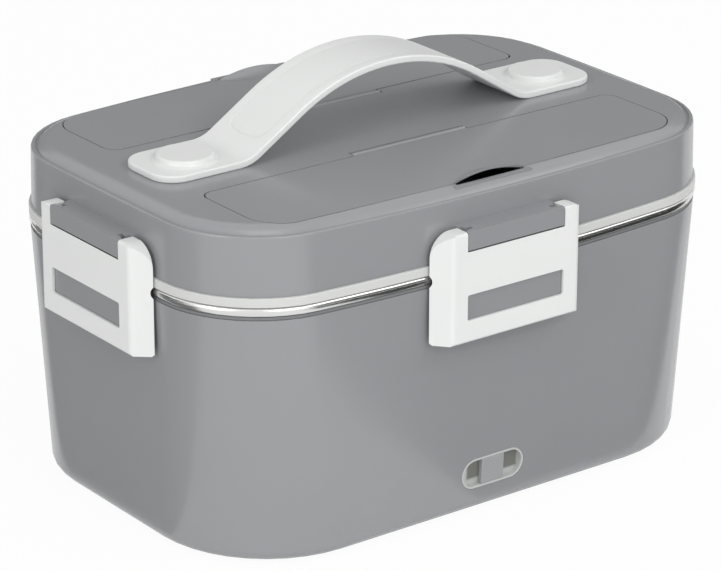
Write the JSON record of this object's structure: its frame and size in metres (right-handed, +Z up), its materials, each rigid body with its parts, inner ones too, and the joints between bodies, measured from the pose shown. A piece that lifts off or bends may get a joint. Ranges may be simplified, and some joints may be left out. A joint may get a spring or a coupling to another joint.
{
  "type": "electric lunch box",
  "caption": "Electric lunch box: heated plastic housing, lift-out steel container, clip-on lid with flapped cutlery compartments and a strap handle.",
  "frame": {"origin": "centre of the box's footprint, on the table under the rubber feet", "axes": "+Z up, +X along the long side of the box, the front wall with the indicator window faces -Y"},
  "size_m": [0.2498, 0.1796, 0.1576],
  "materials": {
    "grey_plastic": "fine satin texture",
    "white_plastic": "satin",
    "liner_plastic": "smooth",
    "stainless_steel": "polished rim, satin inside",
    "bright_steel": "plated",
    "heater_aluminium": "rolled sheet",
    "ceramic_element": "ceramic in insulating film",
    "silicone": "soft matt",
    "black_rubber": "matt",
    "dark_plastic": "matt",
    "lens_plastic": "frosted, translucent",
    "lamp_epoxy": "milky",
    "board_laminate": "lacquered",
    "fuse_brass": "plain",
    "live_wire_skin": "silicone",
    "neutral_wire_skin": "silicone",
    "link_wire_skin": "glass sleeve",
    "lamp_wire_skin": "silicone"
  },
  "bodies": {
    "housing": {"outer_housing": "grey_plastic", "base_cover": "grey_plastic", "base_feet": "black_rubber", "base_screws": "bright_steel", "inner_liner": "liner_plastic", "heater_plate": "heater_aluminium", "ptc_heaters": "ceramic_element", "heater_clamp": "stainless_steel", "clamp_screws": "bright_steel", "thermostat": "dark_plastic", "thermal_fuse": "fuse_brass", "circuit_board": "board_laminate", "indicator_leds": "lamp_epoxy", "indicator_lens": "lens_plastic", "indicator_bar": "grey_plastic", "power_inlet": "dark_plastic", "inlet_pins": "bright_steel", "live_wire": "live_wire_skin", "neutral_wire": "neutral_wire_skin", "heater_wire": "link_wire_skin", "lamp_wire": "lamp_wire_skin"},
    "container": {"steel_container": "stainless_steel"},
    "lid": {"lid_shell": "grey_plastic", "lid_inner_plate": "white_plastic", "lid_seal": "silicone", "handle_strap": "white_plastic", "handle_buttons": "white_plastic", "handle_screws": "bright_steel", "flap_hinge_pins": "bright_steel"},
    "vent": {"steam_vent_plug": "silicone"},
    "front_cover": {"front_flap": "grey_plastic"},
    "rear_cover": {"rear_flap": "grey_plastic"},
    "latch_front": {"front_latch": "white_plastic", "front_latch_pin": "bright_steel"},
    "latch_right": {"right_latch": "white_plastic", "right_latch_pin": "bright_steel"},
    "latch_rear": {"rear_latch": "white_plastic", "rear_latch_pin": "bright_steel"},
    "latch_left": {"left_latch": "white_plastic", "left_latch_pin": "bright_steel"}
  },
  "joints": [
    {"name": "container_lift", "type": "slide", "parent": "housing", "child": "container", "axis": [0, 0, 1], "range_m": [0, 0.09]},
    {"name": "lid_lift", "type": "slide", "parent": "container", "child": "lid", "axis": [0, 0, 1], "range_m": [0, 0.06]},
    {"name": "vent_pull", "type": "slide", "parent": "lid", "child": "vent", "axis": [0, 0, 1], "range_m": [0, 0.008]},
    {"name": "front_flap_hinge", "type": "hinge", "parent": "lid", "child": "front_cover", "pos_m": [0, -0.0262, 0.1276], "axis": [-1, 0, 0], "range_deg": [0, 95]},
    {"name": "rear_flap_hinge", "type": "hinge", "parent": "lid", "child": "rear_cover", "pos_m": [0, 0.0262, 0.1276], "axis": [1, 0, 0], "range_deg": [0, 95]},
    {"name": "front_latch_hinge", "type": "hinge", "parent": "lid", "child": "latch_front", "pos_m": [0, -0.0864, 0.1136], "axis": [-1, 0, 0], "range_deg": [0, 90]},
    {"name": "right_latch_hinge", "type": "hinge", "parent": "lid", "child": "latch_right", "pos_m": [0.1215, 0, 0.1136], "axis": [0, -1, 0], "range_deg": [0, 90]},
    {"name": "rear_latch_hinge", "type": "hinge", "parent": "lid", "child": "latch_rear", "pos_m": [0, 0.0864, 0.1136], "axis": [1, 0, 0], "range_deg": [0, 90]},
    {"name": "left_latch_hinge", "type": "hinge", "parent": "lid", "child": "latch_left", "pos_m": [-0.1215, 0, 0.1136], "axis": [0, 1, 0], "range_deg": [0, 90]}
  ]
}
